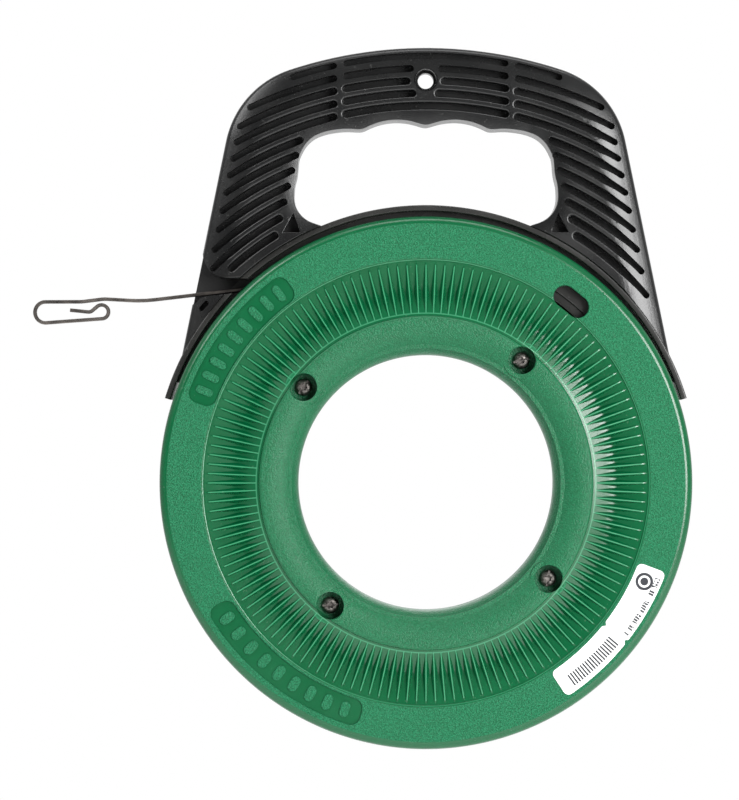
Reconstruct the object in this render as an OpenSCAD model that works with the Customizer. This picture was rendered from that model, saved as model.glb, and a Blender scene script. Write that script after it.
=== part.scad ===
// Fish tape reel. A case of two shells turns inside the shoe of a handle, and winds a flat steel
// tape that leaves through a gap in the left leg of the handle.
// Frame: +Z up with the handle on top, the reel axis along Y, the front towards -Y, and the origin
// on the reel axis half way through the case. Each piece is drawn face on, X right and Y up with Z
// towards the front, and front_view() then stands it up.

/* [Case] */
// Outer radius of the case rim
case_r = 111; // [110.5:0.1:111.4]
// Radius of the open hub
hub_r = 53.3; // [50:0.1:54.5]
// Half of the thickness of the case at its hub
hub_half = 22; // [21:0.5:26]
// Half of the thickness of the case near its rim
rim_half = 19.5; // [19:0.1:20]
// Half of the width of the slot round the rim
rim_slot_half = 7; // [6.8:0.1:8]
// Wall of the shells
wall = 2.5; // [2:0.1:2.6]
// Pitch radius of the case screws
screw_pitch_r = 64.7; // [64.4:0.1:65]
// Angle of the first case screw
screw_angle = 52; // [40:1:60]

/* [Handle] */
// Radius of the top of the handle about the reel axis
handle_top_r = 181.8; // [181:0.2:186]
// Half of the thickness of the handle
handle_half = 14; // [13.5:0.5:16]
// Radius of the top corners of the handle
corner_r = 40; // [38:1:41]
// Lean of the legs of the handle from upright, in degrees
leg_lean = 11.6; // [11:0.1:12]
// Distance of the leg's outer face from the reel axis
leg_reach = 110.5; // [110:0.1:111]
// Depth of the grip slots
slot_depth = 8; // [3:0.5:8.5]
// Width of the grip slots
slot_w = 2.7; // [2:0.1:3]
// Step from one grip slot to the next
slot_pitch = 5.22; // [5.1:0.02:5.3]
// Radius of the hanging hole at its neck
hang_neck_r = 3.3; // [2.5:0.1:3.8]

/* [Shoe] */
// Angle of each end of the shoe above the horizontal
shoe_end = 17; // [15:1:20]
// Radial gap between the shoe and the case
shoe_gap = 0.6; // [0.3:0.1:0.8]

/* [Tape] */
// Thickness of the tape
tape_t = 1.5; // [1.2:0.1:1.6]
// Width of the tape
tape_w = 3.2; // [3:0.1:3.2]
// Outer radius of the wound coil
coil_r = 88.2; // [85:0.1:88.3]
// Layers of tape side by side in the coil
coil_layers = 4; // [2:1:4]

/* [Hidden] */
$fn = 96;
eps = 0.01;
far = 400;
// Flat steps round the end of a grip slot
cap_steps = 6;

// Shell section, as radius and distance from the middle plane
lip_r = 6;
hub_ring_r = 69.3;
rib_edge_r = 93;
rib_zone_half = 18;
rim_round = 3.5;
hub_wall = 2.7;
drum_in_r = 70.8;
drum_out_r = 72.6;
guide_in_r = 90.6;
guide_out_r = 92.3;
coil_room_half = 15.8;
shoe_room_half = rim_half - wall;
rim_in_r = case_r - 2.6;
// Screw bosses of the case
boss_r = 7.6;
counterbore_r = 5.75;
counterbore_floor = 12;
clearance_r = 1.9;
pilot_r = 1.65;
pilot_end = 9;
// Window that shows the shoe
window_r = 96.6;
window_angle = 51.3;
window_l = 16.2;
window_w = 9.2;

// Pan head screws
head_r = 3.45;
head_h = 2.4;
shank_r = 1.6;
drive_w = 0.9;
drive_deep = 1;
drive_turns = [15, 55, 5, 80];

// Shoe section
flange_in_r = guide_out_r + shoe_gap;
flange_out_r = rim_in_r - shoe_gap;
flange_half = 14;
shoulder_r = 96.5;
shoulder_half = 12.5;
channel_half = 3.2;
web_in_r = 104;
web_half = rim_slot_half - 0.8;
// The rail sits higher than the reel axis, so its gap to the case is widest at the top
rail_rise = 2;
rail_in_r = case_r + 0.4;
rail_out_r = rail_in_r + 2.5;
rail_half = 13;
flange_end = shoe_end + 5;
ear_r = 6;
ear_half = 1.5;
ear_gap = 0.2;

// Handle outline: the legs lean in, and a corner arc joins them to the top arc
top_reach = handle_top_r - corner_r;
leg_inner = leg_reach - corner_r;
corner_turn = asin(leg_inner / top_reach) - leg_lean;
corner_at = [top_reach * sin(corner_turn), top_reach * cos(corner_turn)];
top_tangent = corner_at * handle_top_r / top_reach;
leg_tangent = corner_at + corner_r * [cos(leg_lean), sin(leg_lean)];
parting = -5;

// Grip opening
finger_r = 27;
finger_x = 12;
finger_top = 151.4;
side_finger_r = 25;
side_finger_x = 33;
side_finger_top = 147.6;
upper_corner = [40, 133.8];
upper_corner_r = 12.6;
lower_corner = [43.5, 119.5];
lower_corner_r = 11.6;

// Grip slots
slot_top_r = 178.2;
slot_rows = 12;
centre_rows = 5;
centre_slot_x = 33.2;
spine_x = 38.4;
edge_margin = 4.6;
inner_reach = 87.4;
inner_lean = 14.9;
lead_margin_z = 89.4;
hang_at = [0, 168.2];
hang_mouth_r = 4.4;
hang_boss_r = 6.6;
hang_neck_top = 4;
gusset = [[-3.5, -4], [3.5, -4], [-0.8, 4]];
gusset_at = [56, 108.5];

// Handle screws, from the back
handle_screws = [[-46, 160], [46, 160], [-72, 128], [72, 128], [-80, 100], [80, 100]];
handle_boss_r = 5;
handle_seat = -10;
handle_head_r = 3.1;
handle_shank_r = 1.4;
handle_thread_end = 3;

// Gap where the tape leaves the left leg
gap_floor = -2.2;
gap_round = 11;
gap_round_at = [-82.2, 96.2];
gap_lower_edge = [[-60, 81], [-84, 78.7], [-92.8, 77.6], [-95.2, 75.9], [-120, 60]];
hook_rest = [-92.6, 73.8];
hook_rest_l = 5;
hook_rest_w = 2;
hook_rest_turn = 48;
hook_rest_floor = 2;

// Tape: heading of the straight lead as it leaves, and its runs and bends out to the hook.
// A run is [length, 0], and a bend is [radius, turn], with a turn to the left positive.
lead_start = [-10.4, 88.7];
lead_heading = 186.69;
lead_route = [[104, 0], [60, -10], [9.5, 0], [15, 10.5], [7, 0], [15, -7], [14.4, 0],
    [4.4, 184], [23.5, 0], [2.9, 216], [2.6, 0], [2.5, -46], [7.5, 0]];
coil_in_r = drum_out_r + 0.3;
coil_half = coil_layers * tape_w / 2;

// Anchor stud for the inner end of the tape
anchor_angle = 180;
anchor_stud_r = 2;
anchor_plate = [1.4, 9, 9];

// Label
label_from = -56.6;
label_to = -20.5;
label_notch = -38.4;
label_in_r = 94.4;
label_out_r = 106.5;
label_t = 0.25;
notch_deep = 1.4;

function polar(r, a) = [r * cos(a), r * sin(a)];

// Angle from upright at which a slot of radius r stops short of the leg or the corner
function leg_stop(r) = asin((leg_reach - edge_margin) / r) - leg_lean;
function corner_cos(r) = (pow(r, 2) + pow(top_reach, 2) - pow(corner_r - edge_margin + 1, 2))
    / (2 * r * top_reach);
function corner_stop(r) = corner_turn + acos(min(1, corner_cos(r)));
function outer_stop(r) = r > slot_top_r - 2 * slot_pitch ? min(leg_stop(r), corner_stop(r)) : leg_stop(r);
function inner_stop(r) = asin(inner_reach / r) - inner_lean;
function slot_r(row) = slot_top_r - row * slot_pitch;

module front_view() {
    rotate([90, 0, 0]) children();
}

// A flat shape between two distances from the middle plane
module between(z0, z1) {
    translate([0, 0, z0]) linear_extrude(z1 - z0) children();
}

// A rectangle of the turned section, from one corner to the other
module block(r0, z0, r1, z1) {
    translate([r0, z0]) square([r1 - r0, z1 - z0]);
}

// A wedge from the reel axis, between two angles less than 180 degrees apart
module wedge(a0, a1) {
    mid = (a0 + a1) / 2;
    polygon([[0, 0], polar(far, a0), polar(far, mid), polar(far, a1)]);
}

// A round-ended groove along a circle about the reel axis; angles run from upright to the right
module arc_slot(r, from, to, w) {
    runs = ceil(abs(to - from) / 4);
    polygon(concat(
        [for (i = [0:runs]) polar(r + w / 2, 90 - from - (to - from) * i / runs)],
        [for (i = [1:cap_steps - 1])
            polar(r, 90 - to) + polar(w / 2, 90 - to - 180 * i / cap_steps)],
        [for (i = [0:runs]) polar(r - w / 2, 90 - to + (to - from) * i / runs)],
        [for (i = [1:cap_steps - 1])
            polar(r, 90 - from) + polar(w / 2, 270 - from - 180 * i / cap_steps)]));
}

// ---- Case ----

module shell_section() {
    difference() {
        union() {
            block(hub_r, 0, hub_ring_r, hub_half);
            block(hub_ring_r - eps, 0, rib_edge_r + eps, rib_zone_half);
            block(rib_edge_r, 0, case_r, rim_half);
        }
        difference() {
            block(hub_r - 1, hub_half - lip_r, hub_r + lip_r, hub_half + 1);
            translate([hub_r + lip_r, hub_half - lip_r]) circle(lip_r);
        }
        difference() {
            block(case_r - rim_round, rim_half - rim_round, case_r + 1, rim_half + 1);
            translate([case_r - rim_round, rim_half - rim_round]) circle(rim_round);
        }
        block(hub_r + hub_wall, -1, drum_in_r, hub_half - wall);
        block(drum_out_r, -1, guide_in_r, coil_room_half);
        block(guide_in_r - eps, -1, guide_out_r + eps, rim_slot_half);
        block(guide_out_r, -1, rim_in_r, shoe_room_half);
        block(rim_in_r - eps, -1, case_r + 1, rim_slot_half);
    }
}

module at_case_screws() {
    for (i = [0:3]) translate(polar(screw_pitch_r, screw_angle + 90 * i)) children();
}

module shell_blank() {
    difference() {
        union() {
            rotate_extrude($fn = 180) shell_section();
            at_case_screws() cylinder(r = boss_r, h = hub_half - wall + eps);
        }
        rotate([0, 0, anchor_angle]) translate([drum_in_r - 1, 0, 0]) rotate([0, 90, 0])
            cylinder(r = anchor_stud_r + 0.1, h = drum_out_r - drum_in_r + 2);
    }
}

module front_case_shell() {
    color("seagreen") front_view() difference() {
        shell_blank();
        at_case_screws() {
            translate([0, 0, -1]) cylinder(r = clearance_r, h = hub_half);
            translate([0, 0, counterbore_floor]) cylinder(r = counterbore_r, h = hub_half);
        }
        rotate([0, 0, window_angle]) between(coil_room_half - 1, rim_half + 1) {
            translate([window_r - window_w / 2, (window_w - window_l) / 2])
                square([window_w, window_l - window_w]);
            for (side = [-1, 1]) translate([window_r, side * (window_l - window_w) / 2])
                circle(window_w / 2);
        }
    }
}

module rear_case_shell() {
    color("seagreen") front_view() mirror([0, 0, 1]) difference() {
        shell_blank();
        at_case_screws() translate([0, 0, -1]) cylinder(r = pilot_r, h = pilot_end + 1);
    }
}

// A pan head screw with its seat at z = 0, its shank below and a slot across its head
module pan_screw(r_head, r_shank, length, turn) {
    difference() {
        union() {
            cylinder(r = r_head, h = head_h);
            translate([0, 0, -length]) cylinder(r = r_shank, h = length + eps);
        }
        rotate([0, 0, turn]) translate([-far / 2, -drive_w / 2, head_h - drive_deep])
            cube([far, drive_w, far]);
    }
}

module case_screw(i) {
    color("dimgray") front_view()
        translate(concat(polar(screw_pitch_r, screw_angle + 90 * i), counterbore_floor))
            pan_screw(head_r, shank_r, counterbore_floor + pilot_end - 1, drive_turns[i]);
}

// The flat plate rests on the inside of the round drum by its two side edges
module tape_anchor() {
    face = sqrt(pow(drum_in_r, 2) - pow(anchor_plate[1] / 2, 2)) - eps;
    color("silver") front_view() rotate([0, 0, anchor_angle]) {
        translate([face - anchor_plate[0], -anchor_plate[1] / 2, -anchor_plate[2] / 2])
            cube(anchor_plate);
        translate([face - eps, 0, 0]) rotate([0, 90, 0])
            cylinder(r = anchor_stud_r, h = drum_out_r - face + 0.1);
    }
}

module tape_coil() {
    color("dimgray") front_view() rotate_extrude($fn = 180)
        block(coil_in_r, -coil_half, coil_r, coil_half);
}

module spec_label() {
    color("white") front_view() between(rim_half, rim_half + label_t) difference() {
        intersection() {
            circle(label_out_r);
            wedge(label_from, label_to);
        }
        circle(label_in_r);
        for (r = [label_in_r, label_out_r]) translate(polar(r, label_notch)) rotate(label_notch)
            circle(notch_deep, $fn = 4);
    }
}

// ---- Handle ----

// Trapezoid between the leaning outer faces of the legs
module leg_wedge() {
    half_top = (leg_reach - handle_top_r * sin(leg_lean)) / cos(leg_lean);
    half_foot = leg_reach / cos(leg_lean);
    polygon([[-half_foot, 0], [half_foot, 0], [half_top, handle_top_r], [-half_top, handle_top_r]]);
}

module handle_outline() {
    difference() {
        intersection() {
            circle(handle_top_r, $fn = 360);
            leg_wedge();
        }
        for (side = [-1, 1]) scale([side, 1])
            polygon([top_tangent, leg_tangent, leg_tangent * 1.3, top_tangent * 1.3]);
    }
    for (side = [-1, 1]) translate([side * corner_at[0], corner_at[1]]) circle(corner_r);
}

module grip_opening() {
    intersection() {
        for (side = [-1, 1]) {
            translate([side * finger_x, finger_top - finger_r]) circle(finger_r);
            translate([side * side_finger_x, side_finger_top - side_finger_r]) circle(side_finger_r);
        }
        translate([-upper_corner[0], upper_corner[1]]) square([2 * upper_corner[0], far]);
    }
    for (side = [-1, 1]) {
        translate([side * upper_corner[0], upper_corner[1]]) circle(upper_corner_r);
        translate([side * lower_corner[0], lower_corner[1]]) circle(lower_corner_r);
        scale([side, 1]) polygon([[0, 100], [38, 100], [lower_corner[0], lower_corner[1] - lower_corner_r],
            lower_corner + lower_corner_r * [cos(10), sin(10)],
            upper_corner + upper_corner_r * [cos(10), sin(10)],
            [upper_corner[0], 146], [0, 146]]);
    }
}

module handle_plan() {
    difference() {
        handle_outline();
        translate([0, rail_rise]) circle(rail_out_r, $fn = 180);
        translate([-far / 2, -far]) square([far, far]);
        grip_opening();
    }
}

// The gap that the tape leaves through, between the end of the left leg and the guide below it
module exit_gap() {
    difference() {
        polygon(concat(gap_lower_edge, [[-120, gap_round_at[1]], [-60, gap_round_at[1]]]));
        translate(gap_round_at) circle(gap_round);
        translate([gap_round_at[0], gap_round_at[1] - gap_round]) square([60, 60]);
    }
}

module hook_rest_hole() {
    translate(hook_rest) rotate(hook_rest_turn) {
        square([hook_rest_l - hook_rest_w, hook_rest_w], center = true);
        for (side = [-1, 1]) translate([side * (hook_rest_l - hook_rest_w) / 2, 0])
            circle(hook_rest_w / 2, $fn = 24);
    }
}

// Grip slots: a middle group, and one group in each leg that is shorter above the tape's gap
module grip_slots(left_floor) {
    difference() {
        for (row = [0:centre_rows - 1]) {
            r = slot_r(row);
            a = asin(centre_slot_x / r);
            arc_slot(r, -a, a, slot_w);
        }
        translate(hang_at) circle(hang_boss_r);
    }
    for (row = [0:slot_rows - 1]) {
        r = slot_r(row);
        from = row < centre_rows ? asin(spine_x / r) : inner_stop(r);
        to = outer_stop(r);
        arc_slot(r, from, to, slot_w);
        arc_slot(r, -min(to, acos(min(1, left_floor / r))), -from, slot_w);
    }
    for (side = [-1, 1]) scale([side, 1]) translate(gusset_at) polygon(gusset);
}

// The two ears of the shoe, which the lowest pair of handle screws passes through
module ears(half) {
    for (at = [handle_screws[4], handle_screws[5]]) {
        translate(at) circle(half);
        rotate(atan2(at[1], at[0])) translate([rail_out_r - 1, 1 - half])
            square([norm(at) - rail_out_r + 1, 2 * half - 2]);
    }
}

module handle_front_half() {
    color([0.24, 0.24, 0.25]) front_view() difference() {
        between(parting, handle_half) handle_plan();
        difference() {
            between(handle_half - slot_depth, handle_half + 1) grip_slots(lead_margin_z);
            between(handle_half - slot_depth - 1, handle_half + 2) translate(hang_at) circle(hang_boss_r);
        }
        between(gap_floor, handle_half + 1) exit_gap();
        between(hook_rest_floor, handle_half + 1) hook_rest_hole();
        translate(concat(hang_at, parting - 1)) cylinder(r = hang_neck_r, h = far);
        translate(concat(hang_at, hang_neck_top)) cylinder(r = hang_mouth_r, h = far);
        for (at = handle_screws) translate(concat(at, parting - 1))
            cylinder(r = handle_shank_r + 0.05, h = handle_thread_end - parting + 1);
        between(parting - 1, parting + ear_half + ear_gap) ears(ear_r + ear_gap);
    }
}

module handle_rear_half() {
    color([0.24, 0.24, 0.25]) front_view() difference() {
        between(-handle_half, parting) handle_plan();
        difference() {
            between(-handle_half - 1, slot_depth - handle_half - 2) grip_slots(0);
            between(-handle_half - 2, parting) for (at = handle_screws) translate(at) circle(handle_boss_r);
        }
        translate(concat(hang_at, -far)) cylinder(r = hang_mouth_r, h = 2 * far);
        for (at = handle_screws) {
            translate(concat(at, handle_seat - far)) cylinder(r = handle_head_r + 0.5, h = far);
            translate(concat(at, handle_seat - 1)) cylinder(r = handle_shank_r + 0.2, h = far);
        }
        between(parting - ear_half - ear_gap, parting + 1) ears(ear_r + ear_gap);
    }
}

module handle_screw(i) {
    color("dimgray") front_view()
        translate(concat(handle_screws[i], handle_seat)) mirror([0, 0, 1])
            pan_screw(handle_head_r, handle_shank_r, handle_thread_end - handle_seat - 1, 20 * i);
}

// ---- Shoe ----

module shoe_section() {
    block(rail_in_r, -rail_half, rail_out_r, rail_half);
}

module flange_section() {
    block(web_in_r, -web_half, rail_in_r + rail_rise + 0.2, web_half);
    for (side = [-1, 1]) scale([1, side]) {
        block(flange_in_r, channel_half, shoulder_r + eps, shoulder_half);
        block(shoulder_r, channel_half, flange_out_r, flange_half);
    }
}

module rim_shoe() {
    color([0.2, 0.2, 0.21]) front_view() difference() {
        union() {
            translate([0, rail_rise]) {
                intersection() {
                    rotate_extrude($fn = 180) shoe_section();
                    between(-far, far) wedge(shoe_end, 180 - shoe_end);
                }
                for (a = [shoe_end, 180 - shoe_end])
                    translate(concat(polar((rail_in_r + rail_out_r) / 2, a), -rail_half))
                        cylinder(r = (rail_out_r - rail_in_r) / 2, h = 2 * rail_half, $fn = 32);
            }
            intersection() {
                rotate_extrude($fn = 180) flange_section();
                between(-far, far) wedge(flange_end, 180 - flange_end);
            }
            between(parting - ear_half, parting + ear_half) difference() {
                ears(ear_r);
                for (at = [handle_screws[4], handle_screws[5]]) translate(at)
                    circle(handle_shank_r + 0.2);
            }
        }
        between(gap_floor, far) intersection() {
            exit_gap();
            difference() {
                circle(far);
                circle(rail_in_r - 1);
            }
        }
        between(gap_floor, -gap_floor) tape_way();
    }
}

// Straight way for the tape through the shoe
module tape_way() {
    translate(lead_start) rotate(lead_heading) translate([0, -tape_t]) square([110, 2 * tape_t]);
}

// ---- Tape lead ----

// The points along one run or bend of the tape from a place and heading, each as [x, y, heading]
function step_points(at, step) = step[1] == 0
    ? [[at[0] + step[0] * cos(at[2]), at[1] + step[0] * sin(at[2]), at[2]]]
    : [for (i = [1:bend_steps(step[1])]) bend_point(at, step[0], step[1] * i / bend_steps(step[1]))];
function bend_steps(turn) = ceil(abs(turn) / 12);
function bend_point(at, r, turn) = [
    at[0] + sign(turn) * r * (sin(at[2] + turn) - sin(at[2])),
    at[1] - sign(turn) * r * (cos(at[2] + turn) - cos(at[2])),
    at[2] + turn];

// All the points of the route from step i on
function route_points(at, i) = i == len(lead_route) ? []
    : let (points = step_points(at, lead_route[i]))
        concat(points, route_points(points[len(points) - 1], i + 1));

// The same points moved half the tape's thickness to one side of the route
function edge_points(points, side) = [for (p = points)
    [p[0] - side * tape_t / 2 * sin(p[2]), p[1] + side * tape_t / 2 * cos(p[2])]];

module tape_lead() {
    start = concat(lead_start, lead_heading);
    route = concat([start], route_points(start, 0));
    back = [for (i = [len(route) - 1:-1:0]) route[i]];
    color("gray") front_view() between(-tape_w / 2, tape_w / 2)
        polygon(concat(edge_points(route, 1), edge_points(back, -1)));
}

handle_front_half();
handle_rear_half();
rim_shoe();
handle_screw(0);  // handle_screw_1
handle_screw(1);  // handle_screw_2
handle_screw(2);  // handle_screw_3
handle_screw(3);  // handle_screw_4
handle_screw(4);  // handle_screw_5
handle_screw(5);  // handle_screw_6
front_case_shell();
rear_case_shell();
case_screw(0);  // case_screw_1
case_screw(1);  // case_screw_2
case_screw(2);  // case_screw_3
case_screw(3);  // case_screw_4
tape_coil();
tape_anchor();
spec_label();
tape_lead();
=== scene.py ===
# %% [markdown]
# # A fish tape reel
# An electrician's fish tape is a flat spring-steel tape that is pushed through a conduit to pull
# wires back. This one lives in a green ring-shaped case. The case turns in a black shoe on the
# handle, and the tape leaves through a gap in the handle's left leg, ending in a bent hook.
# Everything here is built in metres in the frame of the measured model: +Z up, the reel axis
# along Y, and the front face towards -Y.

# %% Load the frame
import math

import bmesh
import bpy
import numpy as np
from mathutils import Matrix, Vector


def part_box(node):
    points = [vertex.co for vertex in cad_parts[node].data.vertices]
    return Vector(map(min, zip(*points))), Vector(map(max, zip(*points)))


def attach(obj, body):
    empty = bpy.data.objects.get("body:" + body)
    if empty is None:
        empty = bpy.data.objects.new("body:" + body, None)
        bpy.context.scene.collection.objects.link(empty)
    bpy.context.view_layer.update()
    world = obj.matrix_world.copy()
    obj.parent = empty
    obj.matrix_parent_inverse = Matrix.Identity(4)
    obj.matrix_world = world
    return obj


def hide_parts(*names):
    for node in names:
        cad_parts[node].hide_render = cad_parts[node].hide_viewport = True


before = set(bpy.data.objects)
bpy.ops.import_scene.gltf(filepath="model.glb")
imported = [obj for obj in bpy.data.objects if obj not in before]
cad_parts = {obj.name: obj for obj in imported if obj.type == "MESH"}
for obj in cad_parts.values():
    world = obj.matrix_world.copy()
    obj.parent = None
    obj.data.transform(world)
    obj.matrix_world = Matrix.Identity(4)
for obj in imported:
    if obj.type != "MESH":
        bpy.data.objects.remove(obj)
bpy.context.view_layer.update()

# %% [markdown]
# ## Drawing face on
# The reel is easiest to think of face on, as a moulder draws it: x to the right, y up, and a
# height towards the viewer from the middle plane of the case, all in millimetres. `stand_up`
# turns such a drawing into the upright frame. Sizes come from the frame's own boxes.

# %% Driving sizes
MM = 0.001


def span(node, axis):
    low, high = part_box(node)
    return low[axis] / MM, high[axis] / MM


case_r = span("front_case_shell", 0)[1]
case_half = -span("front_case_shell", 1)[0]
handle_half = -span("handle_front_half", 1)[0]
handle_top = span("handle_front_half", 2)[1]
parting = -span("handle_front_half", 1)[1]
tape_w = 2 * span("tape_lead", 1)[1]
print(f"case {case_r:.1f} by {case_half:.1f}, handle top {handle_top:.1f}, parting {parting:.1f}")


def polar(r, degrees):
    a = np.radians(degrees)
    return np.stack([r * np.cos(a), r * np.sin(a)], axis=-1)


def stand_up(points):
    p = np.asarray(points, float)
    return np.stack([p[:, 0], -p[:, 2], p[:, 1]], axis=-1) * MM


# %% [markdown]
# ## Turning points and faces into pieces
# Each piece is one closed mesh. Faces are shaded smooth, with an edge kept sharp where two faces
# meet at more than 35 degrees, and weighted normals keep the large flat faces flat beside their
# small rounded edges.

# %% Mesh helpers
SHARP = math.radians(35)


def new_mesh(name, points, faces):
    mesh = bpy.data.meshes.new(name)
    mesh.from_pydata(stand_up(points).tolist(), [], [list(map(int, f)) for f in faces])
    work = bmesh.new()
    work.from_mesh(mesh)
    bmesh.ops.recalc_face_normals(work, faces=work.faces)
    work.to_mesh(mesh)
    work.free()
    piece = bpy.data.objects.new(name, mesh)
    bpy.context.collection.objects.link(piece)
    return piece


def apply_modifiers(piece):
    bpy.context.view_layer.update()
    seen = piece.evaluated_get(bpy.context.evaluated_depsgraph_get())
    done = bpy.data.meshes.new_from_object(seen)
    piece.modifiers.clear()
    old = piece.data
    piece.data = done
    done.name = piece.name
    bpy.data.meshes.remove(old)
    return piece


def join(name, pieces):
    work = bmesh.new()
    for piece in pieces:
        work.from_mesh(piece.data)
        bpy.data.objects.remove(piece)
    mesh = bpy.data.meshes.new(name)
    work.to_mesh(mesh)
    work.free()
    whole = bpy.data.objects.new(name, mesh)
    bpy.context.collection.objects.link(whole)
    return whole


def carve(piece, tool, how="DIFFERENCE"):
    step = piece.modifiers.new("carve", "BOOLEAN")
    step.operation = how
    step.solver = "MANIFOLD"
    step.object = tool
    apply_modifiers(piece)
    bpy.data.objects.remove(tool)
    return piece


def finish_surface(piece):
    mesh = piece.data
    work = bmesh.new()
    work.from_mesh(mesh)
    bmesh.ops.remove_doubles(work, verts=work.verts, dist=1e-6)
    bmesh.ops.dissolve_degenerate(work, edges=work.edges, dist=1e-6)
    work.to_mesh(mesh)
    work.free()
    mesh.polygons.foreach_set("use_smooth", [True] * len(mesh.polygons))
    mesh.set_sharp_from_angle(angle=SHARP)
    flat = piece.modifiers.new("flat faces", "WEIGHTED_NORMAL")
    flat.keep_sharp = True
    flat.weight = 100
    apply_modifiers(piece)
    return piece


def settle(piece, body, slot, material, *nodes):
    finish_surface(piece)
    piece.data.materials.clear()
    piece.data.materials.append(material)
    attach(piece, body)
    if nodes:
        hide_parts(*nodes)
    print(f"{piece.name}: {len(piece.data.polygons)} faces on {body}")
    return piece


# %% [markdown]
# ## Lofts and turnings
# A moulded edge is never knife sharp. `loft` stacks one closed outline at several heights, and
# grows or shrinks it at each, so a rounded edge, a flared pocket or a draft angle is only a short
# list of (height, growth). `turning` spins a section round the reel axis, as a lathe would.

# %% Lofts and turnings
def grow(outline, by):
    ahead = np.roll(outline, -1, 0) - outline
    behind = outline - np.roll(outline, 1, 0)
    ahead /= np.maximum(np.linalg.norm(ahead, axis=1, keepdims=True), 1e-9)
    behind /= np.maximum(np.linalg.norm(behind, axis=1, keepdims=True), 1e-9)
    along = ahead + behind
    along /= np.maximum(np.linalg.norm(along, axis=1, keepdims=True), 1e-9)
    out = np.stack([along[:, 1], -along[:, 0]], axis=1)
    lean = np.clip(np.sum(along * ahead, axis=1, keepdims=True), 0.5, 1)
    return outline + out * by / lean


def loft(name, outline, layers):
    outline = np.asarray(outline, float)
    n = len(outline)
    points = np.concatenate([
        np.column_stack([grow(outline, by), np.full(n, height)]) for height, by in layers])
    faces = [[n * k + i, n * k + (i + 1) % n, n * (k + 1) + (i + 1) % n, n * (k + 1) + i]
             for k in range(len(layers) - 1) for i in range(n)]
    faces.append(list(range(n))[::-1])
    faces.append(list(range(n * (len(layers) - 1), n * len(layers))))
    return new_mesh(name, points, faces)


def turning(name, section, angles, closed=True, height=None):
    """section is a closed loop of (radius, height); angles and height may vary from ring to ring."""
    section, angles = np.asarray(section, float), np.atleast_2d(np.asarray(angles, float))
    rings, columns = len(section), angles.shape[1]
    lift = np.repeat(section[:, 1:2], columns, axis=1) if height is None else height
    flat = polar(section[:, 0][:, None], np.broadcast_to(angles, (rings, columns)))
    points = np.concatenate([flat, lift[..., None]], axis=-1).reshape(-1, 3)
    i, j = np.meshgrid(np.arange(rings), np.arange(columns if closed else columns - 1), indexing="ij")
    i1, j1 = (i + 1) % rings, (j + 1) % columns
    faces = np.stack([i * columns + j, i * columns + j1, i1 * columns + j1, i1 * columns + j], -1)
    faces = faces.reshape(-1, 4).tolist()
    if not closed:
        faces.append([k * columns for k in range(rings)])
        faces.append([k * columns + columns - 1 for k in range(rings)][::-1])
    return new_mesh(name, points, faces)


def disc(at, r, steps=64):
    return np.asarray(at, float) + polar(r, np.arange(steps) * 360 / steps)


def quarter(r, steps=5):
    """(height, growth) of a rounded edge that ends at height 0, for use below a face."""
    return [(r * math.sin(a) - r, -r * (1 - math.cos(a)))
            for a in np.linspace(0, math.pi / 2, steps)]


def flare(floor, face, lip, past=0.6):
    """Layers of a cutter whose walls run up from floor and open into a rounded lip at face."""
    rise = [(face + h, -g) for h, g in quarter(lip)]
    return [(floor, 0)] + rise + [(face + past, lip)]


def box_between(name, low, high, side=400):
    corners = np.array([[-side, -side], [side, -side], [side, side], [-side, side]])
    return loft(name, corners, [(low, 0), (high, 0)])


# %% [markdown]
# ## The case section
# Each half of the case is one moulding: an open hub with a broad rounded lip, a flat hub ring that
# stands proud, a shallow trough full of thin radial fins for the fingers to turn the case by, and a
# flat band that runs out to a rounded rim. Inside are the drum that the tape is wound on, the wall
# that guides it, and the track that the shoe runs in.

# %% Case section
hub_r = 53.3
dome_out, dome_deep = 13.2, 10.5
hub_ring_r = 69.3
trough_in, trough_out = 69.6, 92.4
trough_start, trough_end, trough_slope = case_half - 1.5, case_half - 3.3, 0.36
steep_run, soft_run, climb_from = 6.4, 5.0, 9.6
band_height = case_half - 2.5
band_in, band_out = 93.4, 107.6
rim_round = case_r - band_out
slot_half = 7
fins = 144
fin_half_top, fin_slope = 0.22, 0.5
fin_in, fin_out = 70.4, 91.4
fin_lean = (trough_end + 0.35 - (trough_start - 0.35)) / (fin_out - fin_in)
fin_base = trough_start - 0.35 - fin_lean * fin_in


def trough_height(r):
    """A steady slope down from the hub, a soft turn, and a slow climb to the band."""
    run = r - trough_in
    soft = np.clip(run - steep_run, 0, soft_run)
    down = np.minimum(run, steep_run) + soft - soft ** 2 / (2 * soft_run)
    lowest = trough_start - trough_slope * (steep_run + soft_run / 2)
    climb = np.maximum(run - climb_from, 0) / (trough_out - trough_in - climb_from)
    return trough_start - trough_slope * down + climb * (trough_end - lowest)


def fin_line(r):
    return fin_base + fin_lean * r


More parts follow.
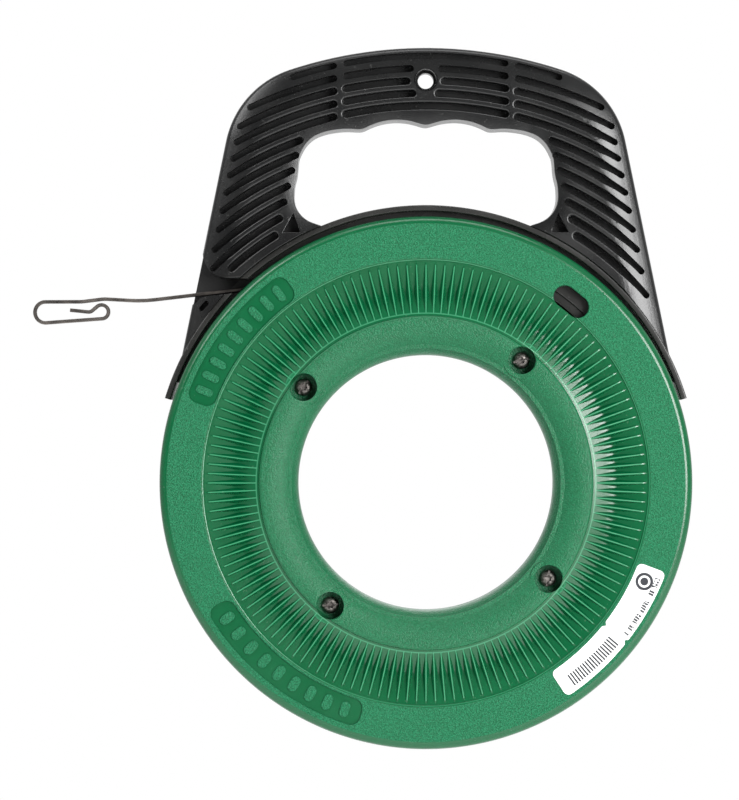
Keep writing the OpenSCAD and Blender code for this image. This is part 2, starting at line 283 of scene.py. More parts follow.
def shell_outside(back):
    draft = 0.9 if back else 0
    section = [(hub_r + draft * h / 12, h) for h in (0, 4, 8, case_half - dome_deep)]
    for a in np.linspace(0, math.pi / 2, 24)[1:]:
        section.append((hub_r + draft * 0.96 + (dome_out - draft * 0.96) * (1 - math.cos(a)),
                        case_half - dome_deep + dome_deep * math.sin(a)))
    section += [(hub_ring_r - 1, case_half), (hub_ring_r - 0.4, case_half - 0.12),
                (hub_ring_r - 0.1, case_half - 0.4), (hub_ring_r + 0.05, case_half - 0.9)]
    for r in np.linspace(trough_in, trough_out, 27):
        section.append((r, float(trough_height(r))))
    section += [(92.6, trough_end + 0.3), (92.75, band_height - 0.12), (93.0, band_height)]
    section += [(r, band_height) for r in (band_in, 96, 100, 104, band_out)]
    for a in np.linspace(0, math.pi / 2, 10)[1:]:
        section.append((band_out + rim_round * math.sin(a),
                        band_height - rim_round * (1 - math.cos(a))))
    section += [(case_r, 11), (case_r, slot_half + 0.4), (case_r - 0.4, slot_half)]
    return section


def shell_inside():
    return [(108.4, slot_half), (108.4, 17), (92.3, 17), (92.3, slot_half), (90.6, slot_half),
            (90.6, 15.6), (72.6, 15.6), (72.6, 0), (70.8, 0), (70.8, 19.3), (56, 19.3), (56, 0)]


def shell_blank(name, back=False):
    section = np.array(shell_outside(back) + shell_inside())
    r, h = section.T
    period = 360 / fins
    outside = np.arange(len(section)) < len(shell_outside(back))
    rise = np.where(outside & (r > fin_in) & (r < fin_out), np.maximum(fin_line(r) - h, 0), 0)
    half_top = np.degrees(fin_half_top / r)
    half_foot = np.degrees((fin_half_top + 0.03 + fin_slope * rise) / r)
    middle = period / 2
    steps = np.stack([-half_foot, -half_top, half_top, half_foot,
                      (half_foot + middle) / 2, np.full(len(r), middle),
                      (3 * middle - half_foot) / 2], axis=1)
    angles = (np.arange(fins)[None, :, None] * period + steps[:, None, :]).reshape(len(r), -1)
    lift = np.repeat(h[:, None], angles.shape[1], axis=1)
    lift[:, np.tile([False, True, True, False, False, False, False], fins)] += rise[:, None]
    shell = turning(name, section, angles, height=lift)
    bosses = join("bosses", [loft("boss", disc(at, 7.6), [(0, 0), (case_half - 2, 0)])
                             for at in screw_places])
    return carve(shell, bosses, "UNION")


screw_places = polar(64.7, 52 + 90 * np.arange(4))
print("fins on each shell:", fins)

# %% [markdown]
# ## Cut-outs in the front shell
# The front shell has deep counterbores for its four screws, a window that shows the shoe, and two
# sunk panels. The panels carry raised grip bars.

# %% Front shell
def arc_panel(r_low, r_high, a_low, a_high, corner=4.2, steps=48):
    """A strip along a circle about the reel axis, with round corners, as an outline."""
    turn = np.degrees(corner / ((r_low + r_high) / 2))
    spots = [(r_low + corner, a_low + turn, 180), (r_high - corner, a_low + turn, 270),
             (r_high - corner, a_high - turn, 0), (r_low + corner, a_high - turn, 90)]
    outline = []
    for k, (r, a, start) in enumerate(spots):
        for b in np.radians(start + np.linspace(0, 90, 8)):
            outline.append(polar(r + corner * math.cos(b), a + turn * math.sin(b)))
        if k in (1, 3):
            far_a = spots[(k + 1) % 4][1]
            edge_r = r_high if k == 1 else r_low
            outline += list(polar(edge_r, np.linspace(a, far_a, steps))[1:-1])
    return np.array(outline)


def stadium(at, length, width, degrees, steps=13):
    half = (length - width) / 2
    ends = [polar(width / 2, np.linspace(-90, 90, steps)) + [half, 0],
            polar(width / 2, np.linspace(90, 270, steps)) - [half, 0]]
    points = np.concatenate(ends)
    turn = math.radians(degrees)
    spin = np.array([[math.cos(turn), math.sin(turn)], [-math.sin(turn), math.cos(turn)]])
    return points @ spin + at


panel_floor = band_height - 0.8
panels = [(93.9, 105.8, 124.5, 160.8, 9), (94.4, 105.6, 210.2, 254.3, 9)]
window_angle = 51.3


def raised_bars(r_low, r_high, a_low, a_high, count):
    middle = (r_low + r_high) / 2
    pitch = (a_high - a_low) / (count + 0.8)
    bars = []
    for k in range(count):
        a = a_low + pitch * (k + 0.9)
        outline = stadium(polar(middle, a), r_high - r_low - 4.4, math.radians(pitch) * middle * 0.5, a)
        bars.append(loft("bar", outline, [(panel_floor - 0.5, 0), (panel_floor + 0.45, 0),
                                          (panel_floor + 0.62, -0.2)]))
    return bars


front_shell = shell_blank("front_case_shell_moulding")
cutters = [loft("bore", disc(at, 5.75), flare(12, case_half, 0.5)) for at in screw_places]
cutters += [loft("hole", disc(at, 1.9, 32), [(-1, 0), (13, 0)]) for at in screw_places]
cutters.append(loft("window", stadium(polar(96.6, window_angle), 16.2, 9.2, window_angle + 90),
                    flare(14, band_height, 0.6)))
cutters += [loft("panel", arc_panel(*panel[:4]), flare(panel_floor, band_height, 0.3))
            for panel in panels]
for cutter in cutters:
    carve(front_shell, cutter)
bars = [bar for panel in panels for bar in raised_bars(*panel)]
carve(front_shell, join("bars", bars), "UNION")
print("front shell faces:", len(front_shell.data.polygons))

# %% [markdown]
# ## Rear shell
# The rear shell is the same moulding turned to the back, with blind holes for the screws and no
# window, panels or label.

# %% Rear shell
def turn_to_back(piece):
    co = np.empty(len(piece.data.vertices) * 3)
    piece.data.vertices.foreach_get("co", co)
    co[1::3] *= -1
    piece.data.vertices.foreach_set("co", co)
    piece.data.flip_normals()
    return piece


rear_shell = shell_blank("rear_case_shell_moulding", back=True)
for at in screw_places:
    carve(rear_shell, loft("hole", disc(at, 1.65, 32), [(-1, 0), (9, 0)]))
turn_to_back(rear_shell)
print("rear shell faces:", len(rear_shell.data.polygons))

# %% [markdown]
# ## Pan head screws
# The four case screws sit deep in their counterbores, and six more close the handle from the back.
# A combined drive, a slot with a six-lobed recess, is common on site tools. The head is a low dome
# on a plain shank.

# %% Screws
def pan_screw(name, at, seat, r_head, r_shank, length, turn, facing=1):
    top = 2.4
    profile = [(-length, r_shank - 0.5), (-length + 0.8, r_shank), (-0.02, r_shank), (0, r_head - 0.15),
               (0.2, r_head), (1.0, r_head), (1.5, r_head - 0.15), (1.95, r_head - 0.5),
               (2.25, r_head - 1.1), (top, r_head - 2.0)]
    screw = loft(name, disc(at, r_head, 48), [(seat + h, r - r_head) for h, r in profile])
    lobes = np.arange(72) * 5
    star = np.asarray(at) + polar(1.45 + 0.24 * np.cos(np.radians(6 * lobes)), lobes + turn)
    slot = stadium(np.asarray(at), 2 * r_head + 3, 0.85, turn)
    carve(screw, loft("slot", slot, [(seat + top - 0.9, 0), (seat + top + 1, 0)]))
    carve(screw, loft("star", star, [(seat + top - 1.5, -0.15), (seat + top + 1, 0)]))
    return screw if facing > 0 else turn_to_back(screw)


case_screws = [pan_screw(f"case_screw_{k + 1}_black", at, 12, 3.45, 1.6, 20, turn)
               for k, (at, turn) in enumerate(zip(screw_places, [15, 55, 5, 80]))]
handle_screw_places = np.array([(-46, 160), (46, 160), (-72, 128), (72, 128), (-80, 100), (80, 100)])
handle_screws = [pan_screw(f"handle_screw_{k + 1}_black", at, 10, 3.1, 1.4, 12, 20 * k, facing=-1)
                 for k, at in enumerate(handle_screw_places)]
print("screws:", len(case_screws) + len(handle_screws))

# %% [markdown]
# ## The handle body
# The handle is a D moulding whose top arc and grip slots run round the reel axis. Its faces are
# crowned, so they fall away slowly towards the outer edge and towards the grip, and the finger
# bumps are soft. It is drawn as one block, cut, and then split at its parting line into the two
# halves that the screws pull together.

# %% Handle outline and grip opening
lean, reach, corner = 11.6, 110.5, 40
rail_r, rail_rise = 113.9, 2.0
to_corner = handle_top - corner
corner_turn = math.degrees(math.asin((reach - corner) / to_corner)) - lean
corner_at = polar(to_corner, 90 - corner_turn)


def leg_foot(y):
    return [(reach - y * math.sin(math.radians(lean))) / math.cos(math.radians(lean)), y]


right = [leg_foot(y) for y in (45, 80, 110)]
right += list(corner_at + polar(corner, np.linspace(lean, 90 - corner_turn, 24)))
crown = polar(handle_top, np.linspace(90 - corner_turn, 90 + corner_turn, 26))[1:-1]
left = [[-x, y] for x, y in right[::-1]]
handle_edge = np.array(right + list(crown) + left)

grip_middle = np.array([0, 126.0])
fingers = [((12, 124.4), 27), ((33, 122.6), 25)]
corners = [((40, 133.8), 12.6), ((43.5, 119.5), 11.6)]
sides = np.array([[-38, 100], [38, 100], [43.5, 107.9], [54.9, 121.5], [52.4, 136], [40, 146],
                  [-40, 146], [-52.4, 136], [-54.9, 121.5], [-43.5, 107.9]])


def grip_outline(softness=0.9):
    ways = np.radians(np.arange(0, 360, 1.0))
    ways = np.stack([np.cos(ways), np.sin(ways)], 1)
    reaches = []
    for (x, y), r in fingers + corners:
        for side in (-1, 1):
            to = np.array([side * x, y]) - grip_middle
            along = ways @ to
            room = r ** 2 - (to @ to - along ** 2)
            out = np.where(room > 0, along + np.sqrt(np.maximum(room, 0)), 0)
            if r > 20:
                end = grip_middle + ways * out[:, None]
                out = np.where((end[:, 1] > 134) & (np.abs(end[:, 0]) < 41), out, 0)
            reaches.append(out)
    ahead = np.roll(sides, -1, 0) - sides
    normal = np.stack([ahead[:, 1], -ahead[:, 0]], 1)
    facing = ways @ normal.T
    depth = np.sum(normal * (sides - grip_middle), axis=1)
    reaches.append(np.min(np.where(facing > 1e-6, depth / np.maximum(facing, 1e-6), 1e9), axis=1))
    soft = np.log(np.sum(np.exp(np.array(reaches) / softness), axis=0)) * softness
    soft = (np.roll(soft, 2) + np.roll(soft, -2) + 2 * np.roll(soft, 1) + 2 * np.roll(soft, -1)
            + 3 * soft) / 9
    return grip_middle + ways * soft[:, None]


def through(face, lip):
    up = flare(0, face, lip)[1:]
    return [(-h, g) for h, g in up[::-1]] + up


def crowned(face, edge_r, width, depth, steps=9):
    """(height, growth) of a soft edge that runs on into a slow crown, up to height face."""
    turn = math.pi / 2 - math.atan(2 * depth / width)
    edge = [(edge_r * math.sin(a), -edge_r * (1 - math.cos(a))) for a in np.linspace(0, turn, 6)]
    low = face - depth - edge[-1][0]
    crown = [(face - depth * (1 - t) ** 2, edge[-1][1] - width * t)
             for t in np.linspace(0, 1, steps)[1:]]
    return [(low + h, g) for h, g in edge] + crown


front_crown = crowned(handle_half, 2.6, 13, 2.8)
back_crown = [(-h, g) for h, g in front_crown[::-1]]
handle = loft("handle", handle_edge, back_crown + front_crown)
carve(handle, loft("grip", grip_outline(), through(handle_half, 1.6)))
bowl = [(h, -g - 9) for h, g in crowned(handle_half, 0.4, 14, 2.9)[-9:]] + [(handle_half + 1, 9)]
carve(handle, loft("grip crown", grip_outline(4), bowl))
carve(handle, loft("case room", disc((0, rail_rise), rail_r, 360), through(handle_half, 0.5)))
print("handle block faces:", len(handle.data.polygons))

# %% [markdown]
# ## Grip slots
# Twelve rows of grooves follow circles about the reel axis. The five top rows also cross the
# middle, where they stop at the boss of the hanging hole. At the back they are shallower, and stop
# at the screw bosses. `open_runs` cuts a row wherever a boss stands in its way.

# %% Slots and holes
slot_w, slot_top_r, slot_pitch = 2.7, 178.2, 5.22
hang_at = np.array([0, 168.2])


def sin_angle(length, r):
    return math.degrees(math.asin(min(1, length / r)))


def leg_stop(r):
    return sin_angle(reach - 4.6, r) - lean


def corner_stop(r):
    cosine = (r ** 2 + to_corner ** 2 - (corner - 3.6) ** 2) / (2 * r * to_corner)
    return corner_turn + math.degrees(math.acos(min(1, cosine)))


def open_runs(r, low, high, bosses):
    runs = [(low, high)]
    for at, boss_r in bosses:
        far = math.hypot(*at)
        cosine = (r ** 2 + far ** 2 - (boss_r + slot_w / 2) ** 2) / (2 * r * far)
        if cosine < 1:
            mid, half = math.degrees(math.atan2(at[0], at[1])), math.degrees(math.acos(cosine))
            runs = [part for a, b in runs
                    for part in ((a, min(b, mid - half)), (max(a, mid + half), b))]
    return [(a, b) for a, b in runs if b - a > 0.4]


def slot_outline(r, low, high):
    steps = max(2, int((high - low) / 1.5) + 2)
    out = [polar(r + slot_w / 2, 90 - a) for a in np.linspace(high, low, steps)]
    start, end = polar(r, 90 - low), polar(r, 90 - high)
    cap = [start + polar(slot_w / 2, 90 - low + b) for b in np.linspace(0, 180, 9)[1:-1]]
    back = [polar(r - slot_w / 2, 90 - a) for a in np.linspace(low, high, steps)]
    last = [end + polar(slot_w / 2, 270 - high + b) for b in np.linspace(0, 180, 9)[1:-1]]
    return np.array(out + cap + back + last)


def slot_cutters(left_floor, floor, bosses):
    made = []
    for row in range(12):
        r = slot_top_r - row * slot_pitch
        inner = sin_angle(38.4, r) if row < 5 else sin_angle(87.4, r) - 14.9
        outer = min(leg_stop(r), corner_stop(r)) if row < 2 else leg_stop(r)
        left_outer = min(outer, math.degrees(math.acos(min(1, left_floor / r))))
        rows = [(inner, outer), (-left_outer, -inner)]
        if row < 5:
            rows.append((-sin_angle(33.2, r), sin_angle(33.2, r)))
        for low, high in rows:
            for a, b in open_runs(r, low, high, bosses):
                made.append(loft("slot", slot_outline(r, a, b), flare(floor, handle_half, 0.95)))
    for side in (-1, 1):
        corner_pocket = [[-3.5 * side, -4], [3.5 * side, -4], [-0.8 * side, 4]][::side]
        made.append(loft("pocket", np.array([56 * side, 108.5]) + corner_pocket,
                         flare(floor, handle_half, 0.4)))
    return join("slots", made)


carve(handle, slot_cutters(89.4, handle_half - 8, [(hang_at, 6.6)]))
screw_bosses = [(at, 5) for at in handle_screw_places]
carve(handle, turn_to_back(slot_cutters(0, handle_half - 6, screw_bosses + [(hang_at, 6.6)])))
mouth = [(-15, 5.0), (-14, 5.0), (-13.5, 4.55), (-13, 4.4), (-5, 4.4), (-4.9, 3.3), (3.6, 3.3),
         (4.2, 4.4), (13, 4.4), (13.5, 4.55), (14, 5.0), (15, 5.0)]
carve(handle, loft("hanging hole", disc(hang_at, 3.3, 64), [(h, r - 3.3) for h, r in mouth]))
pockets = [(-15, 3.6), (-10, 3.6), (-9.99, 1.5), (3, 1.5)]
pockets = [(h, r - 3.6) for h, r in pockets]
carve(handle, join("screw pockets", [loft("pocket", disc(at, 3.6, 40), pockets)
                                     for at in handle_screw_places]))
print("handle faces with its slots:", len(handle.data.polygons))

# %% [markdown]
# ## The gap for the tape
# The end of the left leg is cut away in front so that the tape can pass straight out of the case.
# A matte web closes the gap behind the tape, and a small slanted hole through the guide below
# takes the hook when the tape is wound in.

# %% Exit gap, hook rest and the two halves
gap_floor = -2.2
leg_round, leg_round_at = 11, np.array([-82.2, 96.2])
gap_edge = [[-60, 81], [-84, 78.7], [-90, 78.0], [-92.4, 77.6], [-94.2, 76.9], [-95.4, 75.6], [-120, 60],
            [-120, 96.2]]
gap_edge += list(leg_round_at + polar(leg_round, np.linspace(180, 270, 16))) + [[-60, 85.2]]
carve(handle, loft("gap", np.array(gap_edge[::-1]), flare(gap_floor, handle_half, 0.9)))
carve(handle, loft("hook rest", stadium(np.array([-92.6, 73.8]), 5, 2, 48), flare(2, handle_half, 0.4)))


def ear_pieces(grown):
    pieces = []
    for at in handle_screw_places[4:]:
        far, a = math.hypot(*at), math.degrees(math.atan2(at[1], at[0]))
        neck = stadium(polar((far + 118) / 2, a), far - 118 + 10, 10 + 2 * grown, a)
        ear = loft("ear", disc(at, 6 + grown), [(parting - 1.5 - grown, 0), (parting + 1.5 + grown, 0)])
        pieces.append(carve(ear, loft("neck", neck, [(parting - 1.4 - grown, 0),
                                                     (parting + 1.4 + grown, 0)]), "UNION"))
    return join("ears", pieces)


carve(handle, ear_pieces(0.2))


def half_of(piece, name, low, high):
    half = piece.copy()
    half.data = piece.data.copy()
    bpy.context.collection.objects.link(half)
    half.name = name
    return carve(half, box_between("slab", low, high), "INTERSECT")


front_half = half_of(handle, "handle_front_moulding", parting + 0.05, handle_half + 9)
rear_half = half_of(handle, "handle_rear_moulding", -handle_half - 9, parting - 0.05)
bpy.data.objects.remove(handle)
print("handle halves:", len(front_half.data.polygons), len(rear_half.data.polygons))

# %% [markdown]
# ## The shoe
# The shoe is a slippery plastic bow. Its rail shows as a dark band outside the green rim, a thin
# web passes through the slot of the rim, and two flanges ride inside the case, where the window
# shows one of them. The tape runs through a straight channel in it.

# %% Shoe
upper = [(113.5, 6.2), (107.8, 6.2), (107.8, 13.2), (107.55, 13.8), (107.0, 14), (97.0, 14),
         (96.6, 13.8), (96.5, 13.4), (96.5, 12.7), (96.3, 12.5), (93.7, 12.5), (93.1, 12.3),
         (92.9, 11.7), (92.9, 3.2), (104, 3.2)]
bow = turning("bow", upper + [(r, -h) for r, h in upper[::-1]], np.linspace(22, 158, 205), closed=False)
rail_side = [(13 + h, -g) for h, g in quarter(0.6, 4)]
rail_section = [(rail_r - g, h) for h, g in rail_side]
rail_section += [(rail_r - 2.5 + g, h) for h, g in rail_side[::-1]]
rail = turning("rail", rail_section + [(r, -h) for r, h in rail_section[::-1]],
               np.linspace(17, 163, 293), closed=False)
rail.data.transform(Matrix.Translation((0, 0, rail_rise * MM)))
shoe = join("rim_shoe_moulding", [bow])
carve(shoe, rail, "UNION")
carve(shoe, ear_pieces(0), "UNION")
carve(shoe, join("ear holes", [loft("hole", disc(at, 1.6, 32), [(parting - 3, 0), (parting + 3, 0)])
                               for at in handle_screw_places[4:]]))
rail_gap = np.array([[-72.1, 85.2], [-100, 85.2], [-100, 77], [-78.8, 79.2]])
carve(shoe, loft("rail gap", rail_gap, [(gap_floor, 0), (20, 0)]))

lead_start, lead_heading = np.array([-10.4, 88.7]), 186.69
ahead = polar(1, lead_heading)
aside = polar(1.5, lead_heading + 90)
way = np.array([lead_start - aside, lead_start - aside + 110 * ahead,
                lead_start + aside + 110 * ahead, lead_start + aside])
carve(shoe, loft("tape way", way, [(gap_floor, 0), (-gap_floor, 0)]))
print("shoe faces:", len(shoe.data.polygons))

# %% [markdown]
# ## The tape
# Fish tape is a flat strip of hardened spring steel, 3.2 mm wide and 1.5 mm thick. It is formed
# metal and keeps its bends, so it is swept along a fixed route. The wound part fills the drum row
# by row, four turns side by side and ten layers deep, and the free end carries a hand-bent hook.

# %% Tape
tape_t = 1.5
lead_route = [(104, 0), (60, -10), (9.5, 0), (15, 10.5), (7, 0), (15, -7), (14.4, 0), (4.4, 184),
              (23.5, 0), (2.9, 216), (2.6, 0), (2.5, -46), (7.5, 0)]


def strip(name, centres, sideways, heights, half_t, half_w, edge):
    """A rectangular strip with eased edges, swept through points of the face-on drawing."""
    ring = [(half_t, -half_w + edge), (half_t, half_w - edge), (half_t - edge, half_w),
            (-half_t + edge, half_w), (-half_t, half_w - edge), (-half_t, -half_w + edge),
            (-half_t + edge, -half_w), (half_t - edge, -half_w)]
    n, rows = len(ring), len(centres)
    points = np.concatenate([
        np.column_stack([centres + sideways * s, heights + h]) for s, h in ring])
    index = np.arange(n * rows).reshape(n, rows)
    faces = [[index[k, i], index[(k + 1) % n, i], index[(k + 1) % n, i + 1], index[k, i + 1]]
             for k in range(n) for i in range(rows - 1)]
    faces += [list(index[:, 0]), list(index[::-1, -1])]
    return new_mesh(name, points, faces)


def follow(start, heading, route, turn_step=4, run_step=6):
    at, points, headings = np.array(start, float), [np.array(start, float)], [heading]
    for size, turn in route:
        steps = max(1, math.ceil(abs(turn) / turn_step)) if turn else max(1, math.ceil(size / run_step))
        for _ in range(steps):
            if turn:
                chord = 2 * size * math.sin(math.radians(abs(turn) / steps / 2))
                at = at + polar(chord, heading + turn / steps / 2)
                heading += turn / steps
            else:
                at = at + polar(size / steps, heading)
            points.append(at)
            headings.append(heading)
    return np.array(points), np.array(headings)


centres, headings = follow(lead_start, lead_heading, lead_route)
lead = strip("tape_lead_steel", centres, polar(1, headings + 90), np.zeros(len(centres)),
             tape_t / 2, tape_w / 2, 0.28)

drum_r, layer_step, lanes, layers = 72.9, 1.53, 4, 10
turns = np.linspace(0, lanes * layers, lanes * layers * 120 + 1)[:-1]
layer = np.floor(turns / lanes)
lane = np.floor(turns) - layer * lanes
cross = np.clip((turns % 1 - 0.9) / 0.1, 0, 1)
cross = cross * cross * (3 - 2 * cross)
at_end = lane == lanes - 1
side_now = np.where(layer % 2 == 0, 1, -1)
coil_h = side_now * (lane + np.where(at_end, 0, cross) - (lanes - 1) / 2) * tape_w
radius = drum_r + tape_t / 2 + layer_step * (layer + np.where(at_end & (layer < layers - 1), cross, 0))
coil = strip("tape_coil_steel", polar(radius, turns * 360), polar(1, turns * 360), coil_h,
             tape_t / 2 - 0.02, tape_w / 2 - 0.04, 0.25)
print(f"tape wound: {np.sum(2 * np.pi * radius) / 120 * MM:.1f} m in {lanes * layers} turns")

# %% [markdown]
# ## The label
# A printed film label follows the flat band, with round corners and a small notch in each long
# edge. It is a quarter of a millimetre thick, so its edge catches the light.

# %% Label
label_low, label_high, label_notch = -56.6, -20.5, -38.4
label_in, label_out = 94.4, 106.5
outline = arc_panel(label_in, label_out, label_low, label_high, corner=2.3, steps=160)
radii = np.linalg.norm(outline, axis=1)
angles = np.degrees(np.arctan2(outline[:, 1], outline[:, 0]))
notch = np.maximum(0, 1.2 - np.abs(np.radians(angles - label_notch) * radii))
radii = radii + np.where(radii > 100, -notch, notch)
label = loft("spec_label_film", polar(radii, angles),
             [(band_height + 0.01, 0), (band_height + 0.2, 0), (band_height + 0.24, -0.05)])

# %% [markdown]
# ## Shader groups
# Three effects are shared. `reel_place` gives the radius, the angle and the height of a point on
# the reel, so that a finish can follow the turned shape. `moulded_grain` is the spark-eroded
# texture of a mould. `handling` gives the soft rub marks and fine scratches of a carried tool.

# %% Shader helpers and groups
def new_group(name, inputs, outputs):
    tree = bpy.data.node_groups.new(name, "ShaderNodeTree")
    for title, kind, value in inputs:
        socket = tree.interface.new_socket(title, in_out="INPUT", socket_type=kind)
        if value is not None:
            socket.default_value = value
    for title, kind in outputs:
        tree.interface.new_socket(title, in_out="OUTPUT", socket_type=kind)
    return tree, tree.nodes.new("NodeGroupInput").outputs, tree.nodes.new("NodeGroupOutput").inputs


def add(tree, kind, inputs=None, **settings):
    made = tree.nodes.new("ShaderNode" + kind)
    for key, value in settings.items():
        setattr(made, key, value)
    for key, value in (inputs or {}).items():
        if isinstance(value, bpy.types.NodeSocket):
            tree.links.new(value, made.inputs[key])
        else:
            made.inputs[key].default_value = value
    return made


def maths(tree, operation, *values):
    return add(tree, "Math", dict(enumerate(values)), operation=operation).outputs[0]


def step_between(tree, value, low, high, soft):
    """1 where value lies between low and high, with soft edges."""
    up = add(tree, "MapRange", {"Value": value, "From Min": low - soft, "From Max": low + soft})
    down = add(tree, "MapRange", {"Value": value, "From Min": high + soft, "From Max": high - soft})
    return maths(tree, "MULTIPLY", up.outputs[0], down.outputs[0])


def blend_colours(tree, amount, first, second):
    made = add(tree, "Mix", {0: amount, 6: first, 7: second}, data_type="RGBA")
    return made.outputs[2]


place, given, result = new_group("reel_place", [("Vector", "NodeSocketVector", None)],
                                 [("Radius", "NodeSocketFloat"), ("Angle", "NodeSocketFloat"),
                                  ("Height", "NodeSocketFloat")])
parts = add(place, "SeparateXYZ", {0: given["Vector"]}).outputs
square = maths(place, "ADD", maths(place, "MULTIPLY", parts["X"], parts["X"]),
               maths(place, "MULTIPLY", parts["Z"], parts["Z"]))
place.links.new(maths(place, "MULTIPLY", maths(place, "SQRT", square), 1000), result["Radius"])
place.links.new(maths(place, "DEGREES", maths(place, "ARCTAN2", parts["Z"], parts["X"])),
                result["Angle"])
place.links.new(maths(place, "MULTIPLY", maths(place, "ABSOLUTE", parts["Y"]), 1000),
                result["Height"])

grain, given, result = new_group(
    "moulded_grain", [("Vector", "NodeSocketVector", None), ("Scale", "NodeSocketFloat", 2200)],
    [("Height", "NodeSocketFloat"), ("Speckle", "NodeSocketFloat")])
where_and_size = {"Vector": given["Vector"], "Scale": given["Scale"]}
cells = add(grain, "TexVoronoi", where_and_size, feature="SMOOTH_F1")
fine = add(grain, "TexNoise", {**where_and_size, "Detail": 2.0})
mixed = maths(grain, "ADD", maths(grain, "MULTIPLY", cells.outputs["Distance"], -0.7),
              fine.outputs["Fac"])
grain.links.new(mixed, result["Height"])
peaks = add(grain, "MapRange", {"Value": fine.outputs["Fac"], "From Min": 0.36, "From Max": 0.68})
grain.links.new(peaks.outputs[0], result["Speckle"])

handling, given, result = new_group(
    "handling", [("Vector", "NodeSocketVector", None), ("Amount", "NodeSocketFloat", 0.5)],
    [("Rub", "NodeSocketFloat"), ("Scratch", "NodeSocketFloat"), ("Dust", "NodeSocketFloat")])
cloud = add(handling, "TexNoise", {"Vector": given["Vector"], "Scale": 55.0, "Detail": 4.0})
rubs_and_painted_highlights = add(handling, "MapRange", {"Value": cloud.outputs["Fac"], "From Min": 0.35, "From Max": 0.7})
handling.links.new(maths(handling, "MULTIPLY", rubs_and_painted_highlights.outputs[0], given["Amount"]), result["Rub"])
stretched = add(handling, "Mapping", {"Vector": given["Vector"], "Scale": (0.25, 1.0, 6.0),
                                      "Rotation": (0.0, 0.6, 0.0)})
lines = add(handling, "TexNoise", {"Vector": stretched.outputs[0], "Scale": 260.0, "Detail": 3.0})
marks = add(handling, "MapRange", {"Value": lines.outputs["Fac"], "From Min": 0.66, "From Max": 0.74})
handling.links.new(maths(handling, "MULTIPLY", marks.outputs[0], given["Amount"]), result["Scratch"])
specks = add(handling, "TexNoise", {"Vector": given["Vector"], "Scale": 900.0, "Detail": 1.0})
dusty = add(handling, "MapRange", {"Value": specks.outputs["Fac"], "From Min": 0.72, "From Max": 0.8})
handling.links.new(maths(handling, "MULTIPLY", dusty.outputs[0], given["Amount"]), result["Dust"])
print("shader groups:", [g.name for g in bpy.data.node_groups])

# %% [markdown]
# ## Finishes
# The case is dark green ABS, glossy where the mould was polished and speckled where it was
# textured; the light specks are partly painted glints, and the fin tops and ring edges carry painted
# highlights. The handle is a black satin nylon, the shoe is a glossier black, the screws are black
# oxide steel with pale patches painted as highlights, and the tape is oil-blued spring steel.

# %% Finishes
def new_material(name):
    material = bpy.data.materials.new(name)
    material.use_nodes = True
    tree = material.node_tree
    surface = tree.nodes["Principled BSDF"]
    where = add(tree, "TexCoord").outputs["Object"]
    return material, tree, surface, where


def use(tree, group, inputs):
    made = tree.nodes.new("ShaderNodeGroup")
    made.node_tree = group
    for key, value in inputs.items():
        if isinstance(value, bpy.types.NodeSocket):
            tree.links.new(value, made.inputs[key])
        else:
            made.inputs[key].default_value = value
    return made.outputs


def set_surface(tree, surface, **inputs):
    for key, value in inputs.items():
        socket = surface.inputs[key.replace("_", " ")]
        if isinstance(value, bpy.types.NodeSocket):
            tree.links.new(value, socket)
        else:
            socket.default_value = value


def bump(tree, height, distance, strength=1.0):
    return add(tree, "Bump", {"Height": height, "Distance": distance, "Strength": strength}).outputs[0]


green, tree, surface, where = new_material("green_case_plastic")
spot = use(tree, place, {"Vector": where})
on_band = step_between(tree, spot["Radius"], band_in + 0.1, band_out + 0.3, 0.15)
rough_band = maths(tree, "MULTIPLY", on_band,
                   step_between(tree, spot["Height"], panel_floor + 0.35, 30, 0.1))
rough_ring = step_between(tree, spot["Radius"], 40, 68.9, 0.2)
textured = maths(tree, "MAXIMUM", rough_band, maths(tree, "MULTIPLY", rough_ring, 0.6))
mould = use(tree, grain, {"Vector": where, "Scale": 1700.0})
worn = use(tree, handling, {"Vector": where, "Amount": 0.6})
# Painted highlights: the fin tops, the edge of the hub ring and the inner edge of the band are painted a
# lighter green where light catches them.
fin_height = maths(tree, "SUBTRACT", spot["Height"],
                   maths(tree, "MULTIPLY_ADD", spot["Radius"], fin_lean, fin_base))
fin_tops = maths(tree, "MULTIPLY", step_between(tree, fin_height, -0.08, 0.3, 0.06),
                 step_between(tree, spot["Radius"], fin_in, fin_out, 0.1))
edges = maths(tree, "MAXIMUM", step_between(tree, spot["Radius"], 69.0, 69.3, 0.1),
              step_between(tree, spot["Radius"], 92.65, 93.05, 0.1))
rubs_and_painted_highlights = maths(tree, "MAXIMUM", fin_tops, maths(tree, "MULTIPLY", edges, 0.6))
polished = blend_colours(tree, worn["Rub"], (0.0004, 0.084, 0.027, 1), (0.0010, 0.100, 0.034, 1))
# In the textured zones the light specks are partly the mould grain and partly painted glints.
speckled_grain_and_glints = blend_colours(tree, mould["Speckle"], (0.002, 0.088, 0.032, 1), (0.013, 0.182, 0.080, 1))
body = blend_colours(tree, textured, polished, speckled_grain_and_glints)
# Mix in the painted highlights on the fin tops and ring edges.
body = blend_colours(tree, maths(tree, "MULTIPLY", rubs_and_painted_highlights, 0.75), body, (0.045, 0.260, 0.130, 1))
body = blend_colours(tree, maths(tree, "MULTIPLY", worn["Dust"], 0.12), body, (0.45, 0.62, 0.50, 1))
gloss = maths(tree, "ADD", 0.22, maths(tree, "MULTIPLY", textured, 0.24))
gloss = maths(tree, "ADD", gloss, maths(tree, "MULTIPLY", worn["Rub"], 0.08))
height = maths(tree, "MULTIPLY", mould["Height"], maths(tree, "ADD", textured, 0.06))
shine = maths(tree, "SUBTRACT", 0.5, maths(tree, "MULTIPLY", textured, 0.28))
set_surface(tree, surface, Base_Color=body, Roughness=gloss, IOR=1.5, Specular_IOR_Level=shine,
            Normal=bump(tree, height, 0.00045, 0.9))


